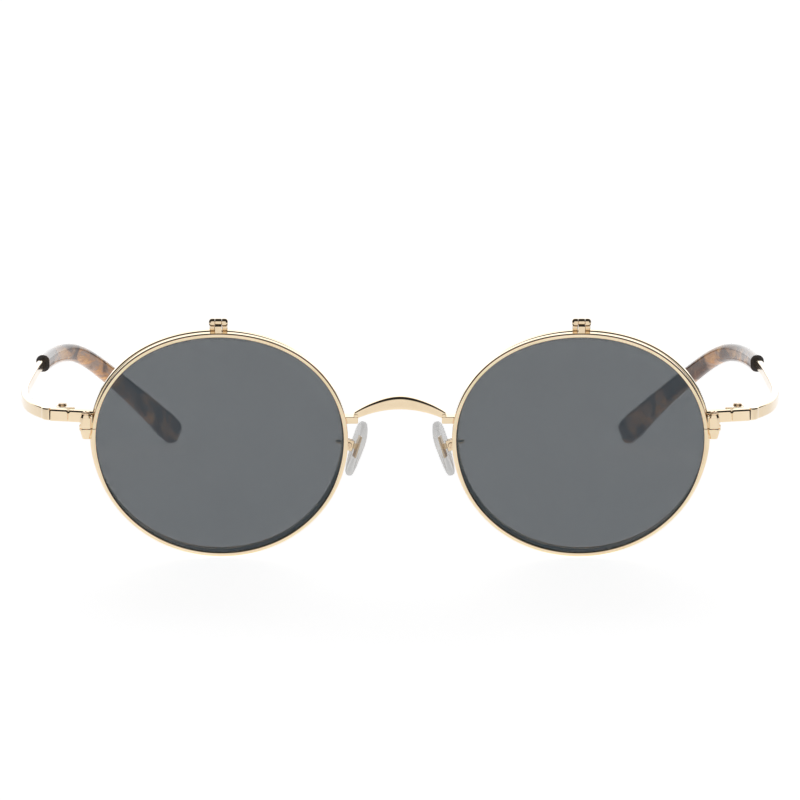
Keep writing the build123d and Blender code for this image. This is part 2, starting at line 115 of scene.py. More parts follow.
FRONT = moved(0, FLIP_PIN.y, FLIP_PIN.z) @ Matrix.Rotation(FRONT_TILT, 4, "X")
FRONT = FRONT @ moved(0, -FLIP_AXIS_Y, -FLIP_AXIS_Z)
FLIP_SPACING = FLIP_PIN.x * 2
BASE_SPACING = FLIP_SPACING + SPACING_STEP
AT_BASE = FRONT @ moved(BASE_SPACING / 2, 0, 0)
AT_FLIP = FRONT @ moved(FLIP_SPACING / 2, 0, 0)
HERE = Matrix.Identity(4)


# ---- mesh tools --------------------------------------------------------------------------------------------
class Shape:
    """Closed shells gathered into one mesh, in millimetres."""

    def __init__(self):
        self.verts = []
        self.faces = []
        self.paints = []

    def add(self, bm, place=HERE, paint=0):
        """Take over a bmesh shell, set in place; paint picks the material."""
        bmesh.ops.recalc_face_normals(bm, faces=bm.faces)
        bm.verts.index_update()
        start = len(self.verts)
        self.verts += [place @ v.co for v in bm.verts]
        for face in bm.faces:
            self.faces.append([start + v.index for v in face.verts])
            self.paints.append(max(paint, face.material_index))
        bm.free()
        return self

    def make(self, name, sign, body, nodes, slot, materials, sharp=38):
        """Build the Blender object for one side, riding on its body in place of the CAD nodes."""
        mesh = bpy.data.meshes.new(name)
        verts = [(v.x * sign * MM, v.y * MM, v.z * MM) for v in self.verts]
        faces = self.faces if sign > 0 else [face[::-1] for face in self.faces]
        mesh.from_pydata(verts, [], faces)
        mesh.polygons.foreach_set("material_index", self.paints)
        mesh.polygons.foreach_set("use_smooth", [True] * len(faces))
        for material in materials:
            mesh.materials.append(material)
        mesh.set_sharp_from_angle(angle=math.radians(sharp))
        mesh.validate()
        mesh.update()
        piece = bpy.data.objects.new(name, mesh)
        bpy.context.scene.collection.objects.link(piece)
        shade = piece.modifiers.new("even_shading", "WEIGHTED_NORMAL")
        shade.keep_sharp = True
        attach(piece, body)
        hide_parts(*nodes)
        return piece

    def pair(self, name, body, slot, materials, nodes=None, sharp=38):
        """Build both sides; body, and nodes if given, are names without their side."""
        for side, sign in SIDES:
            rides_on = body if body == "front" else side + "_" + body
            stands_for = [side + "_" + node for node in (nodes or [name])]
            self.make(side + "_" + name + "_look", sign, rides_on, stands_for, slot, materials, sharp)


def loft(rings, closed=False, start=None, end=None):
    """Shell through rings of points; closed joins last to first, start and end are pole points."""
    bm = bmesh.new()
    rows = [[bm.verts.new(p) for p in ring] for ring in rings]
    count = len(rows[0])
    pairs = list(zip(rows, rows[1:]))
    if closed:
        pairs.append((rows[-1], rows[0]))
    for a, b in pairs:
        for i in range(count):
            j = (i + 1) % count
            bm.faces.new((a[i], a[j], b[j], b[i]))
    if not closed:
        for row, pole in ((rows[0], start), (rows[-1], end)):
            if pole is None:
                bm.faces.new(row)
                continue
            tip = bm.verts.new(pole)
            for i in range(count):
                bm.faces.new((row[i], row[(i + 1) % count], tip))
    return bm


def softened(bm, width, segments=2, angle=30):
    """Round every edge sharper than an angle."""
    limit = math.radians(angle)
    bmesh.ops.recalc_face_normals(bm, faces=bm.faces)
    edges = [e for e in bm.edges if e.is_manifold and e.calc_face_angle(0) > limit]
    bmesh.ops.bevel(bm, geom=edges, offset=width, segments=segments, profile=0.5, affect="EDGES",
                    clamp_overlap=True)
    return bm


def prism(plan, low, high, axis="Z", soft=0.0, segments=2):
    """Polygon pulled along an axis. The plan's two numbers are the other two axes, in XYZ order."""
    def point(p, level):
        if axis == "Z":
            return (p[0], p[1], level)
        if axis == "Y":
            return (p[0], level, p[1])
        return (level, p[0], p[1])
    bm = loft([[point(p, low) for p in plan], [point(p, high) for p in plan]])
    return softened(bm, soft, segments) if soft else bm


def slab(x0, x1, y0, y1, z0, z1, soft=0.08, segments=2):
    """Block between two corners with rounded edges."""
    plan = [(x0, y0), (x1, y0), (x1, y1), (x0, y1)]
    return prism(plan, z0, z1, "Z", soft, segments)


def turned(profile, steps=40, axis="Z"):
    """Solid of revolution through (radius, level) pairs, lowest level first."""
    rings = []
    for radius, level in profile:
        ring = []
        for i in range(steps):
            a = 2 * math.pi * i / steps
            u, v = radius * math.cos(a), radius * math.sin(a)
            ring.append((u, v, level) if axis == "Z" else (level, u, v))
        rings.append(ring)
    return loft(rings)


def arc(cx, cy, radius, first, last, steps):
    """Points on an arc, angles in degrees."""
    out = []
    for i in range(steps + 1):
        a = math.radians(first + (last - first) * i / steps)
        out.append((cx + radius * math.cos(a), cy + radius * math.sin(a)))
    return out


def round_rect(width, height, corner, steps=6):
    """Rounded rectangle about the origin."""
    w, h = width / 2 - corner, height / 2 - corner
    return (arc(w, h, corner, 0, 90, steps) + arc(-w, h, corner, 90, 180, steps)
            + arc(-w, -h, corner, 180, 270, steps) + arc(w, -h, corner, 270, 360, steps))


def smooth_path(points, start, end, count):
    """Evenly spaced (point, direction) pairs along the smooth curve through points."""
    p = np.array(points, float)
    t = np.concatenate(([0.0], np.cumsum(np.linalg.norm(np.diff(p, axis=0), axis=1))))
    h = np.diff(t)
    last = len(p) - 1
    lhs = np.zeros((last + 1, last + 1))
    rhs = np.zeros((last + 1, 3))
    lhs[0, 0] = lhs[last, last] = 1
    rhs[0] = np.array(start, float) / np.linalg.norm(start)
    rhs[last] = np.array(end, float) / np.linalg.norm(end)
    for i in range(1, last):
        lhs[i, i - 1:i + 2] = h[i], 2 * (h[i - 1] + h[i]), h[i - 1]
        rhs[i] = 3 * (h[i - 1] * (p[i + 1] - p[i]) / h[i] + h[i] * (p[i] - p[i - 1]) / h[i - 1])
    slope = np.linalg.solve(lhs, rhs)
    fine = []
    for i in range(last):
        for s in np.linspace(0, 1, 60, endpoint=(i == last - 1)):
            a, b = p[i], p[i + 1]
            ma, mb = slope[i] * h[i], slope[i + 1] * h[i]
            fine.append((2 * s**3 - 3 * s**2 + 1) * a + (s**3 - 2 * s**2 + s) * ma
                        + (3 * s**2 - 2 * s**3) * b + (s**3 - s**2) * mb)
    fine = np.array(fine)
    run = np.concatenate(([0.0], np.cumsum(np.linalg.norm(np.diff(fine, axis=0), axis=1))))
    want = np.linspace(0, run[-1], count)
    even = np.stack([np.interp(want, run, fine[:, k]) for k in range(3)], axis=1)
    heading = np.gradient(even, axis=0)
    heading[0], heading[-1] = rhs[0], rhs[last]
    return [(Vector(q), Vector(d).normalized()) for q, d in zip(even, heading)]


def between(stations, share):
    """Smoothly blended numbers of stations [(share, a, b, ...), ...]."""
    table = np.array(stations, float)
    s = table[:, 0]
    slopes = np.gradient(table, s, axis=0)
    i = int(np.clip(np.searchsorted(s, share) - 1, 0, len(s) - 2))
    h = s[i + 1] - s[i]
    u = (share - s[i]) / h
    return ((2 * u**3 - 3 * u**2 + 1) * table[i] + (u**3 - 2 * u**2 + u) * slopes[i] * h
            + (3 * u**2 - 2 * u**3) * table[i + 1] + (u**3 - u**2) * slopes[i + 1] * h)[1:]


def placed_section(plan, point, direction):
    """Section points set square to a direction, first axis level."""
    across = Vector((0, 0, 1)).cross(direction).normalized()
    up = direction.cross(across)
    return [point + across * x + up * y for x, y in plan]


def bar_along(path, stations, steps=6):
    """Rings of a bar whose (share, height, thickness, corner) stations follow a path."""
    rings = []
    for k, (point, direction) in enumerate(path):
        height, thickness, corner = between(stations, k / (len(path) - 1))
        rings.append(placed_section(round_rect(thickness, height, corner, steps), point, direction))
    return rings


def bent_wire(points, bends, arc_steps=10):
    """Points along straight runs joined by arcs; bends are the arcs' radii."""
    p = [Vector(q) for q in points]
    out = [p[0]]
    for before, corner, after, radius in zip(p, p[1:], p[2:], bends):
        u, v = (before - corner).normalized(), (after - corner).normalized()
        half = u.angle(v) / 2
        centre = corner + (u + v).normalized() * (radius / math.sin(half))
        a, b = corner + u * (radius / math.tan(half)), corner + v * (radius / math.tan(half))
        for k in range(arc_steps + 1):
            s = k / arc_steps
            spoke = (a - centre).normalized().slerp((b - centre).normalized(), s)
            out.append(centre + spoke * radius)
    return out + [p[-1]]


def tube(points, radius, steps=20):
    """Round wire through points, with flat ends."""
    side = Vector((0, 0, 1))
    rings = []
    for k, point in enumerate(points):
        ahead = points[min(k + 1, len(points) - 1)] - points[max(k - 1, 0)]
        ahead.normalize()
        side = (side - ahead * side.dot(ahead)).normalized()
        other = ahead.cross(side)
        rings.append([point + side * (radius * math.cos(a)) + other * (radius * math.sin(a))
                      for a in (2 * math.pi * i / steps for i in range(steps))])
    return loft(rings)


# ---- materials ---------------------------------------------------------------------------------------------
class Nodes:
    """Short calls for building a material's node tree."""

    def __init__(self, name):
        self.material = bpy.data.materials.new(name)
        self.material.use_nodes = True
        self.tree = self.material.node_tree
        self.shader = self.tree.nodes["Principled BSDF"]
        self.where = self.tree.nodes.new("ShaderNodeTexCoord").outputs["Object"]

    def link(self, source, target):
        self.tree.links.new(source, target)

    def set(self, **values):
        """Values on the shader's own sockets."""
        for name, value in values.items():
            self.shader.inputs[name.replace("_", " ")].default_value = value
        return self

    def spread(self, scale, stretch=(1, 1, 1), shift=(0, 0, 0)):
        """Position, stretched and scaled; scale is features per millimetre."""
        node = self.tree.nodes.new("ShaderNodeMapping")
        node.inputs["Scale"].default_value = [scale * s / MM for s in stretch]
        node.inputs["Location"].default_value = shift
        self.link(self.where, node.inputs["Vector"])
        return node.outputs["Vector"]

    def noise(self, scale, detail=3.0, rough=0.55, stretch=(1, 1, 1), shift=(0, 0, 0), warp=0.0):
        """Noise value with about scale features per millimetre."""
        node = self.tree.nodes.new("ShaderNodeTexNoise")
        node.inputs["Scale"].default_value = 1.0
        node.inputs["Detail"].default_value = detail
        node.inputs["Roughness"].default_value = rough
        node.inputs["Distortion"].default_value = warp
        self.link(self.spread(scale, stretch, shift), node.inputs["Vector"])
        return node.outputs["Fac"]

    def ramp(self, factor, stops):
        """Colours, or greys given as numbers, along a factor."""
        node = self.tree.nodes.new("ShaderNodeValToRGB")
        ramp = node.color_ramp
        while len(ramp.elements) < len(stops):
            ramp.elements.new(0.5)
        for element, (place, colour) in zip(ramp.elements, stops):
            element.position = place
            grey = isinstance(colour, (int, float))
            element.color = (colour, colour, colour, 1) if grey else (*colour, 1)
        self.link(factor, node.inputs["Fac"])
        return node.outputs["Color"]

    def mix(self, factor, a, b):
        """Blend two colours by a factor output."""
        node = self.tree.nodes.new("ShaderNodeMix")
        node.data_type = "RGBA"
        self.link(factor, node.inputs["Factor"])
        self.link(a, node.inputs["A"])
        self.link(b, node.inputs["B"])
        return node.outputs["Result"]

    def sum(self, operation, first, *others):
        """Result of a maths operation on outputs and plain numbers."""
        node = self.tree.nodes.new("ShaderNodeMath")
        node.operation = operation
        for socket, value in zip(node.inputs, (first, *others)):
            if isinstance(value, (int, float)):
                socket.default_value = value
            else:
                self.link(value, socket)
        return node.outputs["Value"]

    def bump(self, height, strength, depth):
        """Bump from a height output; depth in millimetres."""
        node = self.tree.nodes.new("ShaderNodeBump")
        node.inputs["Strength"].default_value = strength
        node.inputs["Distance"].default_value = depth * MM
        self.link(height, node.inputs["Height"])
        self.link(node.outputs["Normal"], self.shader.inputs["Normal"])
        return self

    def colour(self, source):
        self.link(source, self.shader.inputs["Base Color"])
        return self

    def rough(self, source):
        self.link(source, self.shader.inputs["Roughness"])
        return self


def polished_gold(name, pale, deep, low, high, shift):
    """Polished plating: slow tint drift, hairline wear and a faint ripple."""
    m = Nodes(name).set(Metallic=1.0)
    drift = m.noise(0.12, 4.0, 0.6, shift=shift)
    m.colour(m.ramp(drift, [(0.30, deep), (0.62, pale)]))
    wear = m.noise(2.2, 5.0, 0.7, stretch=(1, 0.25, 1), shift=shift)
    m.rough(m.ramp(wear, [(0.35, low), (0.75, high)]))
    m.bump(m.noise(0.9, 3.0, 0.6, shift=shift), 0.10, 0.02)
    return m.material


GOLD = polished_gold("polished_gold", (0.89, 0.73, 0.52), (0.80, 0.64, 0.43), 0.04, 0.13, (0, 0, 0))
GOLD_FITTINGS = polished_gold("gold_fittings", (0.83, 0.67, 0.46), (0.69, 0.53, 0.35), 0.06, 0.18, (7, 3, 1))


def screw_metal():
    """Gold-washed screw with turning marks."""
    m = Nodes("gold_screw").set(Metallic=1.0)
    rings = m.noise(6.0, 3.0, 0.6, stretch=(0.2, 0.2, 2.0))
    m.colour(m.ramp(rings, [(0.3, (0.62, 0.45, 0.28)), (0.7, (0.90, 0.71, 0.50))]))
    m.rough(m.ramp(m.noise(3.0), [(0.3, 0.16), (0.7, 0.32)]))
    m.bump(rings, 0.2, 0.01)
    return m.material


def pin_steel():
    """Drawn steel pin with lengthwise marks."""
    m = Nodes("pin_steel").set(Metallic=1.0)
    lines = m.noise(7.0, 3.0, 0.6, stretch=(0.1, 1, 1))
    m.colour(m.ramp(lines, [(0.3, (0.42, 0.41, 0.40)), (0.7, (0.66, 0.65, 0.64))]))
    m.rough(m.ramp(lines, [(0.3, 0.2), (0.7, 0.36)]))
    return m.material


def tinted_lens(name, alpha, dark, light, coat):
    """Lens seen through both of its faces, with the faint smears that handling leaves."""
    m = Nodes(name).set(Alpha=alpha, IOR=1.5, Coat_Weight=coat, Coat_Roughness=0.02)
    smear = m.noise(0.05, 4.0, 0.6, stretch=(1, 1, 2.2))
    m.colour(m.ramp(smear, [(0.3, dark), (0.7, light)]))
    m.rough(m.ramp(m.noise(0.05, 2.0, 0.5), [(0.3, 0.02), (0.8, 0.04)]))
    return m.material


SCREW = screw_metal()
PIN = pin_steel()
SUN_LENS = tinted_lens("grey_tint_lens", 0.645, (0.008, 0.028, 0.044), (0.014, 0.035, 0.052), 0.0)
CLEAR_LENS = tinted_lens("clear_lens", 0.045, (0.60, 0.62, 0.62), (0.72, 0.74, 0.74), 0.0)


def tortoise():
    """Mottled acetate: smoky clear ground under drifting amber and dark brown patches."""
    m = Nodes("tortoise_acetate").set(IOR=1.49, Coat_Weight=0.6, Coat_Roughness=0.04)
    patches = m.noise(0.16, 3.5, 0.5, stretch=(1, 0.7, 1), shift=(3, 0, 0), warp=0.9)
    streaks = m.noise(0.35, 3.0, 0.55, stretch=(1, 0.45, 1.3), shift=(0, 5, 2), warp=1.3)
    ground = m.ramp(streaks, [(0.34, (0.40, 0.26, 0.19)), (0.50, (0.58, 0.27, 0.10)),
                              (0.66, (0.80, 0.43, 0.15))])
    brown = m.ramp(streaks, [(0.3, (0.045, 0.018, 0.010)), (0.7, (0.17, 0.065, 0.028))])
    m.colour(m.mix(m.ramp(patches, [(0.44, 0.0), (0.56, 1.0)]), ground, brown))
    m.rough(m.ramp(m.noise(0.8, 4.0), [(0.3, 0.10), (0.75, 0.20)]))
    m.bump(m.noise(0.3, 2.0), 0.06, 0.05)
    return m.material


def tortoise_cut():
    """Cut end of the acetate, nearly black where the bar enters."""
    m = Nodes("tortoise_cut_end").set(IOR=1.49)
    m.colour(m.ramp(m.noise(1.2, 4.0), [(0.35, (0.008, 0.005, 0.004)), (0.7, (0.035, 0.020, 0.014))]))
    m.rough(m.ramp(m.noise(3.0, 4.0), [(0.3, 0.25), (0.7, 0.45)]))
    return m.material


def silicone():
    """Milky clear nose pad."""
    m = Nodes("clear_silicone").set(Alpha=0.36, IOR=1.42, Coat_Weight=0.3, Coat_Roughness=0.08)
    m.colour(m.ramp(m.noise(0.35, 4.0), [(0.3, (0.30, 0.29, 0.28)), (0.7, (0.46, 0.45, 0.43))]))
    m.rough(m.ramp(m.noise(1.5, 4.0), [(0.3, 0.10), (0.7, 0.22)]))
    m.bump(m.noise(0.5, 3.0), 0.08, 0.04)
    return m.material


TORTOISE = tortoise()
TORTOISE_CUT = tortoise_cut()
SILICONE = silicone()


# ---- lenses and rims ---------------------------------------------------------------------------------------
def lens_point(angle, grow, y=0.0):
    """Point of the lens outline at an angle from the top, moved outward by grow."""
    swell = 1 - LENS_SQUARENESS * math.cos(3 * angle) - LENS_FULLNESS * math.cos(4 * angle)
    slope = 3 * LENS_SQUARENESS * math.sin(3 * angle) + 4 * LENS_FULLNESS * math.sin(4 * angle)
    x = LENS_HALF_WIDTH * swell * math.sin(angle)
    z = LENS_HALF_HEIGHT * swell * math.cos(angle)
    dx = LENS_HALF_WIDTH * (slope * math.sin(angle) + swell * math.cos(angle))
    dz = LENS_HALF_HEIGHT * (slope * math.cos(angle) - swell * math.sin(angle))
    run = math.hypot(dx, dz)
    return Vector((x - grow * dz / run, y, z + grow * dx / run))


def outline_angle(height):
    """Angle, on the outer side, at which the outline has a height."""
    low, high = 0.0, math.pi
    for _ in range(50):
        middle = (low + high) / 2
        if lens_point(middle, 0).z > height:
            low = middle
        else:
            high = middle
    return low


def rim_section(front, back):
    """Rim's cross section as (outward, depth) points, with the groove that holds the lens."""
    r, w, mid = RIM_ROUND, RIM_WALL, (front + back) / 2
    half = GROOVE_WIDTH / 2
    return ([(0, mid + half)] + arc(r, back - r, r, 180, 90, 5) + arc(w - r, back - r, r, 90, 0, 5)
            + arc(w - r, front + r, r, 0, -90, 5) + arc(r, front + r, r, -90, -180, 5)
            + [(0, mid - half), (GROOVE_DEPTH, mid - half), (GROOVE_DEPTH, mid + half)])


def split_ring(front, back, split):
    """Rim wire from one side of the saw cut right round to the other."""
    section = rim_section(front, back)
    above, below = split + SPLIT_GAP / 2, split - SPLIT_GAP / 2
    first, last = outline_angle(below), outline_angle(above) + 2 * math.pi
    rings = []
    for k in range(RING_STEPS + 1):
        a = first + (last - first) * k / RING_STEPS
        rings.append([lens_point(a, grow, y) for grow, y in section])
    for ring, level in ((rings[0], below), (rings[-1], above)):
        for point in ring:
            point.z = level
    return loft(rings)


def octagon(width, depth, cut, x, y):
    """Rectangle with cut corners about a point."""
    w, d = width / 2, depth / 2
    corners = [(w - cut, -d), (w, -d + cut), (w, d - cut), (w - cut, d),
               (-w + cut, d), (-w, d - cut), (-w, -d + cut), (-w + cut, -d)]
    return [(x + u, y + v) for u, v in corners]


def barrel(y, bottom, top, split):
    """Both halves of a closing barrel, faceted and tapered at both ends."""
    x = LENS_HALF_WIDTH + RIM_WALL - BARREL_SET_IN + BARREL_WIDTH / 2
    full = octagon(BARREL_WIDTH, BARREL_DEPTH, 0.5, x, y)
    small = octagon(BARREL_WIDTH - 0.7, BARREL_DEPTH - 0.7, 0.35, x, y)
    below, above = split - SPLIT_GAP / 2, split + SPLIT_GAP / 2
    foot, brow = min(1.5, 0.6 * (below - bottom)), min(0.8, 0.5 * (top - above))
    lower = loft([[(*p, bottom) for p in small], [(*p, bottom + foot) for p in full],
                  [(*p, below) for p in full]])
    upper = loft([[(*p, above) for p in full], [(*p, top - brow) for p in full],
                  [(*p, top) for p in small]])
    return x, [softened(lower, 0.07), softened(upper, 0.07)]


def slotted_head(radius, height, slot=0.22, depth=0.22):
    """Cheese head standing on z = 0: a disc with two lands either side of the slot."""
    floor = height - depth
    shells = [turned([(radius - 0.03, 0), (radius, 0.03), (radius, floor), (radius - 0.01, floor + 0.01)])]
    edge = height * 0.3
    open_angle = math.degrees(math.asin(slot / 2 / radius))
    inner_angle = math.degrees(math.asin(slot / 2 / (radius - edge)))
    for flip in (0, 180):
        full = arc(0, 0, radius, open_angle + flip, 180 - open_angle + flip, 20)
        small = arc(0, 0, radius - edge, inner_angle + flip, 180 - inner_angle + flip, 20)
        land = loft([[(*p, floor - 0.02) for p in full], [(*p, height - edge) for p in full],
                     [(*p, height) for p in small]])
        shells.append(softened(land, 0.02, 2, 35))
    return shells


def slotted_screw(length, radius, head_radius, head_height):
    """Screw along -Z with the underside of its head at the origin."""
    shank = turned([(radius - 0.08, -length), (radius, -length + 0.08), (radius, 0.04)])
    return [shank] + slotted_head(head_radius, head_height)


def closed_rim(front, back, bottom, top, split):
    """Shape of a rim with its barrel and neck."""
    mid = (front + back) / 2
    shape = Shape().add(split_ring(front, back, split))
    x, halves = barrel(mid, bottom, top, split)
    for half in halves:
        shape.add(half)
    reach = LENS_HALF_WIDTH + RIM_WALL
    for low, high in ((bottom + 0.35, split - SPLIT_GAP / 2), (split + SPLIT_GAP / 2, top - 0.35)):
        shape.add(slab(reach - 0.4, x - BARREL_WIDTH / 2 + 0.45, mid - 0.55, mid + 0.55, low, high, 0.1))
    return x, shape


def placed(shape, place):
    """Same shape, set in place."""
    shape.verts = [place @ v for v in shape.verts]
    return shape


def lens_shape(middle, thickness):
    """Curved lens with a V edge that sits in the rim's groove."""
    steps, rows = 200, 22
    edge_radius = (LENS_HALF_WIDTH + LENS_HALF_HEIGHT) / 2
    centre = middle + math.sqrt(LENS_RADIUS**2 - edge_radius**2)
    angles = [2 * math.pi * i / steps for i in range(steps)]
    rim_line = [lens_point(a, -0.03) for a in angles]

    def sheet(radius, share):
        ring = []
        for p in rim_line:
            x, z = p.x * share, p.z * share
            ring.append(Vector((x, centre - math.sqrt(radius**2 - x * x - z * z), z)))
        return ring

    outer, inner = LENS_RADIUS + thickness / 2, LENS_RADIUS - thickness / 2
    shares = [k / rows for k in range(1, rows)] + [0.993]
    front = [sheet(outer, s) for s in shares]
    back = [sheet(inner, s) for s in reversed(shares)]
    edge = []
    for grow, lift in ((-0.03, -0.9), (-0.03, -0.5), (0.34, -0.08), (0.34, 0.08), (-0.03, 0.5), (-0.03, 0.9)):
        edge.append([lens_point(a, grow, middle + lift * thickness / 2) for a in angles])
    bm = loft(front + edge + back, start=(0, centre - outer, 0), end=(0, centre - inner, 0))
    return Shape().add(bm)


def build_rims():
    bottom, top, split = BASE_BARREL
    x, shape = closed_rim(BASE_FRONT, BASE_BACK, bottom, top, split)
    placed(shape, AT_BASE).pair("rim", "front", "gold_metal", [GOLD])
    fixing = Shape()
    for shell in slotted_screw(top - bottom - SCREW_END_GAP, *LOCK_SCREW):
        fixing.add(shell, AT_BASE @ moved(x, 0, bottom) @ turned_by(180, "X"))
    fixing.pair("rim_screw", "front", "gold_screw", [SCREW])
    bottom, top, split = FLIP_BARREL
    x, shape = closed_rim(FLIP_FRONT, FLIP_BACK, bottom, top, split)
    placed(shape, AT_FLIP).pair("flip_rim", "flip", "gold_metal", [GOLD])
    fixing = Shape()
    for shell in slotted_screw(top - bottom - SCREW_END_GAP, *LOCK_SCREW):
        fixing.add(shell, AT_FLIP @ moved(x, FLIP_MIDDLE, top) @ turned_by(60, "Z"))
    fixing.pair("flip_rim_screw", "flip", "gold_screw", [SCREW])
    clear = placed(lens_shape(0.0, CLEAR_LENS_THICK), AT_BASE)
    clear.pair("clear_lens", "front", "clear_lens", [CLEAR_LENS], sharp=60)
    sun = placed(lens_shape(FLIP_MIDDLE, SUN_LENS_THICK), AT_FLIP)
    sun.pair("sun_lens", "flip", "sun_lens", [SUN_LENS], sharp=60)


# ---- flip hinges -------------------------------------------------------------------------------------------
def build_flip_hinges():
    axis = moved(0, FLIP_AXIS_Y, FLIP_AXIS_Z)
    half = KNUCKLE_WIDTH / 2
    r = KNUCKLE_RADIUS
    middle = Shape()
    eye = [(r - 0.08, -half), (r, -half + 0.08), (r, half - 0.08), (r - 0.08, half)]
    middle.add(turned(eye, 48, "X"), axis)
    tab_front, tab_back = FLIP_FRONT + 0.35, FLIP_BACK - 0.03
    side = [(tab_front, RIM_TOP - 0.3), (tab_back, RIM_TOP - 0.3), (tab_back, FLIP_AXIS_Z - 0.1),
            (tab_back - 0.3, FLIP_AXIS_Z + 0.05), (tab_front + 0.35, FLIP_AXIS_Z - 0.1),
            (tab_front, FLIP_AXIS_Z - 0.45)]
    middle.add(prism(side, -half, half, "X", 0.09))
    placed(middle, AT_FLIP).pair("flip_knuckle", "flip", "gold_metal", [GOLD_FITTINGS])
    ears = Shape()
    near = half + EAR_GAP
    far = near + EAR_WIDTH
    ball = [(r - 0.05, near), (r, near + 0.05)]
    ball += [(u, v) for v, u in arc(far - 0.55, r - 0.55, 0.55, 90, 5, 10)]
    for flip in (0, 180):
        around = axis @ turned_by(flip, "Z")
        ears.add(turned(ball, 48, "X"), around)
    foot_front = BASE_FRONT + 0.02
    for sign in (-1, 1):
        low, high = sorted((sign * near, sign * (far - 0.12)))
        foot = slab(low, high, foot_front, foot_front + 1.05, RIM_TOP - 0.35, FLIP_AXIS_Z - 0.2, 0.12, 3)
        ears.add(foot)
    placed(ears, AT_FLIP).pair("flip_hinge_ears", "front", "gold_metal", [GOLD_FITTINGS])


# ---- bridge, end pieces, temple hinges ---------------------------------------------------------------------
BRIDGE_FOOT = (8.7, 5.3)
# (share of length, height, depth, corner)
BRIDGE_STATIONS = [(0.0, 1.35, 1.15, 0.3), (0.22, 2.05, 1.7, 0.6), (0.5, 2.65, 2.1, 0.8),
                   (0.78, 2.05, 1.7, 0.6), (1.0, 1.35, 1.15, 0.3)]


def build_bridge():
    foot_x, foot_z = BRIDGE_FOOT
    points = [(foot_x, 0, foot_z), (4.4, 0, 7.15), (0, 0, 7.9), (-4.4, 0, 7.15), (-foot_x, 0, foot_z)]
    path = smooth_path(points, (-0.86, 0, 0.50), (-0.86, 0, -0.50), 81)
    shape = Shape().add(softened(loft(bar_along(path, BRIDGE_STATIONS)), 0.08, 2, 60))
    for sign in (-1, 1):
        low, high = sorted((sign * 8.25, sign * 11.6))
        shape.add(slab(low, high, -0.8, 1.9, 3.7, 5.1, 0.18, 3))
        low, high = sorted((sign * 8.27, sign * 9.13))
        shape.add(slab(low, high, -0.73, 0.73, 3.75, 5.63, 0.16, 3))
    placed(shape, FRONT).make("bridge_look", 1, "front", ["bridge"], "gold_metal", [GOLD])


def build_endpieces():
    seam, z, half = 69.0, 5.5, 1.2
    front, back = BASE_FRONT + 0.05, BASE_FRONT + 1.55
    edge, notch, crease = 0.28, 0.39, 0.12
    notch_x = 65.4
    stations = [(60.2, 0, 0), (notch_x - notch, 0, 0), (notch_x - crease, 0.69, 0), (notch_x, 1, 1),
                (notch_x + crease, 0.69, 0), (notch_x + notch, 0, 0), (seam - 0.12, 0, 0)]
    rings = []
    for x, v, c in stations:
        low, high = z - half, z + half
        dip, cut = v * notch, c * crease
        rings.append([(x, front + cut, low + edge), (x, front + edge + cut, low), (x, back, low),
                      (x, back, high), (x, front + 0.6, high), (x, front + 0.6, high - dip),
                      (x, front + edge + cut, high - dip), (x, front + cut, high - edge - dip)])
    climb = moved(seam, 0, z) @ turned_by(-3.3, "Y") @ moved(-seam, 0, -z)
    shape = Shape().add(softened(loft(rings), 0.05, 2, 20), FRONT @ climb)
    shape.pair("endpiece", "front", "gold_metal", [GOLD])


HINGE_X, HINGE_Y = 66.8, 2.6
HINGE_MIDDLE = 29.2
HINGE_TALL, HINGE_STEP, HINGE_RADIUS = 0.74, 0.80, 1.15
BACK = Matrix.Translation(HINGE - Vector((HINGE_X, HINGE_Y, HINGE_MIDDLE)))


def hinge_eye(shape, level):
    """Round knuckle with softened rims, standing at a level."""
    r, top = HINGE_RADIUS, level + HINGE_TALL
    profile = [(r - 0.07, level), (r, level + 0.07), (r, top - 0.07), (r - 0.07, top)]
    shape.add(turned(profile, 56), BACK @ moved(HINGE_X, HINGE_Y, 0))


def build_hinges():
    """Front half of the temple hinge, and its screw."""
    x, y = HINGE_X, HINGE_Y
    levels = [HINGE_MIDDLE - HINGE_TALL / 2 + k * HINGE_STEP for k in (-1, 0, 1)]
    top = levels[2] + HINGE_TALL
    shape = Shape().add(slab(x - 2.6, x + 0.9, y - 2.9, y - 1.75, levels[0], top, 0.12, 3), BACK)
    for level in (levels[0], levels[2]):
        hinge_eye(shape, level)
        low, high = level + 0.02, level + HINGE_TALL - 0.02
        shape.add(slab(x - HINGE_RADIUS + 0.02, x + 0.9, y - 2.0, y, low, high, 0.06), BACK)
    shape.pair("front_hinge", "front", "gold_metal", [GOLD_FITTINGS])
    fixing = Shape()
    for shell in slotted_screw(top - levels[0] - SCREW_END_GAP, *HINGE_SCREW):
        fixing.add(shell, BACK @ moved(x, y, top) @ turned_by(20, "Z"))
    fixing.pair("temple_hinge_screw", "front", "gold_screw", [SCREW])


